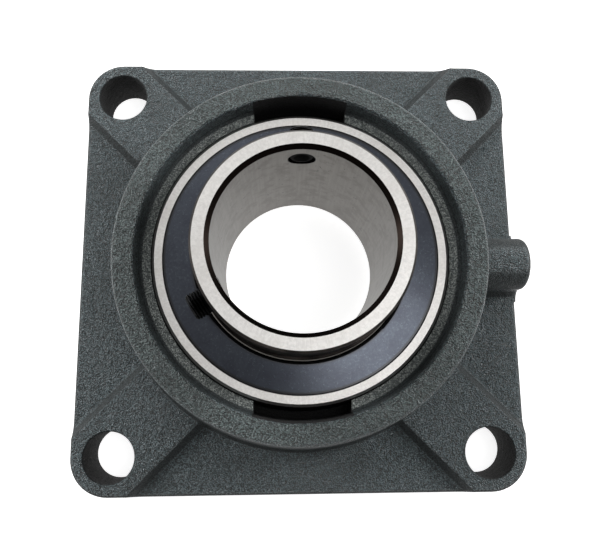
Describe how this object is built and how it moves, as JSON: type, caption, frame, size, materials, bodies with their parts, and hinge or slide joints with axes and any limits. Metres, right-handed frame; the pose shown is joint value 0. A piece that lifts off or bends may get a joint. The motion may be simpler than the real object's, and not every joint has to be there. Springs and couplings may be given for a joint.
{
  "type": "flange mount bearing",
  "caption": "Square flange-mounted self-aligning ball bearing unit: cast housing with a spherical seat and a wide-inner-ring insert locked to the shaft by set screws.",
  "frame": {"origin": "centre of the four-bolt pattern in the plane of the flange's back face, on the shaft axis", "axes": "+Z along the shaft axis, out of the hub; +X out of the grease port; +Y towards one of the two loading slots"},
  "size_m": [0.175, 0.175, 0.0687],
  "materials": {
    "casting_paint": "dark grey-green paint over a sand-cast skin",
    "ring_steel": "ground bearing steel",
    "flinger_steel": "dark blue-black oxide, semi-matte",
    "pressed_steel": "pressed sheet steel",
    "seal_rubber": "matte black nitrile rubber",
    "ball_steel": "polished bearing steel",
    "black_steel": "black oxide"
  },
  "bodies": {
    "housing": {"housing": "casting_paint"},
    "outer_ring": {"outer_ring": "ring_steel", "seal_shell_front": "pressed_steel", "seal_shell_back": "pressed_steel", "seal_lip_front": "seal_rubber", "seal_lip_back": "seal_rubber"},
    "inner_ring": {"inner_ring": "ring_steel", "flinger_front": "flinger_steel", "flinger_back": "flinger_steel"},
    "cage": {"cage_front": "pressed_steel", "cage_back": "pressed_steel", "cage_rivets": "pressed_steel"},
    "ball_01": {"ball_01": "ball_steel"},
    "ball_02": {"ball_02": "ball_steel"},
    "ball_03": {"ball_03": "ball_steel"},
    "ball_04": {"ball_04": "ball_steel"},
    "ball_05": {"ball_05": "ball_steel"},
    "ball_06": {"ball_06": "ball_steel"},
    "ball_07": {"ball_07": "ball_steel"},
    "ball_08": {"ball_08": "ball_steel"},
    "ball_09": {"ball_09": "ball_steel"},
    "ball_10": {"ball_10": "ball_steel"},
    "set_screw_top": {"set_screw_top": "black_steel"},
    "set_screw_side": {"set_screw_side": "black_steel"}
  },
  "joints": [
    {"name": "self_align", "type": "hinge", "parent": "housing", "child": "outer_ring", "pos_m": [0, 0, 0.029], "axis": [0, 1, 0], "range_deg": [-3, 3]},
    {"name": "shaft_spin", "type": "hinge", "parent": "outer_ring", "child": "inner_ring", "pos_m": [0, 0, 0.029], "axis": [0, 0, 1], "continuous": true},
    {"name": "cage_spin", "type": "hinge", "parent": "outer_ring", "child": "cage", "pos_m": [0, 0, 0.029], "axis": [0, 0, 1], "continuous": true},
    {"name": "ball_01_spin", "type": "hinge", "parent": "cage", "child": "ball_01", "pos_m": [0.0425, 0, 0.029], "axis": [0, 0, 1], "continuous": true},
    {"name": "ball_02_spin", "type": "hinge", "parent": "cage", "child": "ball_02", "pos_m": [0.03438, 0.02498, 0.029], "axis": [0, 0, 1], "continuous": true},
    {"name": "ball_03_spin", "type": "hinge", "parent": "cage", "child": "ball_03", "pos_m": [0.01313, 0.04042, 0.029], "axis": [0, 0, 1], "continuous": true},
    {"name": "ball_04_spin", "type": "hinge", "parent": "cage", "child": "ball_04", "pos_m": [-0.01313, 0.04042, 0.029], "axis": [0, 0, 1], "continuous": true},
    {"name": "ball_05_spin", "type": "hinge", "parent": "cage", "child": "ball_05", "pos_m": [-0.03438, 0.02498, 0.029], "axis": [0, 0, 1], "continuous": true},
    {"name": "ball_06_spin", "type": "hinge", "parent": "cage", "child": "ball_06", "pos_m": [-0.0425, 0, 0.029], "axis": [0, 0, 1], "continuous": true},
    {"name": "ball_07_spin", "type": "hinge", "parent": "cage", "child": "ball_07", "pos_m": [-0.03438, -0.02498, 0.029], "axis": [0, 0, 1], "continuous": true},
    {"name": "ball_08_spin", "type": "hinge", "parent": "cage", "child": "ball_08", "pos_m": [-0.01313, -0.04042, 0.029], "axis": [0, 0, 1], "continuous": true},
    {"name": "ball_09_spin", "type": "hinge", "parent": "cage", "child": "ball_09", "pos_m": [0.01313, -0.04042, 0.029], "axis": [0, 0, 1], "continuous": true},
    {"name": "ball_10_spin", "type": "hinge", "parent": "cage", "child": "ball_10", "pos_m": [0.03438, -0.02498, 0.029], "axis": [0, 0, 1], "continuous": true},
    {"name": "top_screw_travel", "type": "slide", "parent": "inner_ring", "child": "set_screw_top", "axis": [0, 1, 0], "range_m": [-0.0003, 0.0055]},
    {"name": "side_screw_travel", "type": "slide", "parent": "inner_ring", "child": "set_screw_side", "axis": [-0.866, -0.5, 0], "range_m": [-0.0015, 0.0043]}
  ],
  "couplings": [
    {"joint": "cage_spin", "follows": "shaft_spin", "ratio": 0.40662},
    {"joint": "ball_01_spin", "follows": "shaft_spin", "ratio": -2.5838},
    {"joint": "ball_02_spin", "follows": "shaft_spin", "ratio": -2.5838},
    {"joint": "ball_03_spin", "follows": "shaft_spin", "ratio": -2.5838},
    {"joint": "ball_04_spin", "follows": "shaft_spin", "ratio": -2.5838},
    {"joint": "ball_05_spin", "follows": "shaft_spin", "ratio": -2.5838},
    {"joint": "ball_06_spin", "follows": "shaft_spin", "ratio": -2.5838},
    {"joint": "ball_07_spin", "follows": "shaft_spin", "ratio": -2.5838},
    {"joint": "ball_08_spin", "follows": "shaft_spin", "ratio": -2.5838},
    {"joint": "ball_09_spin", "follows": "shaft_spin", "ratio": -2.5838},
    {"joint": "ball_10_spin", "follows": "shaft_spin", "ratio": -2.5838}
  ]
}
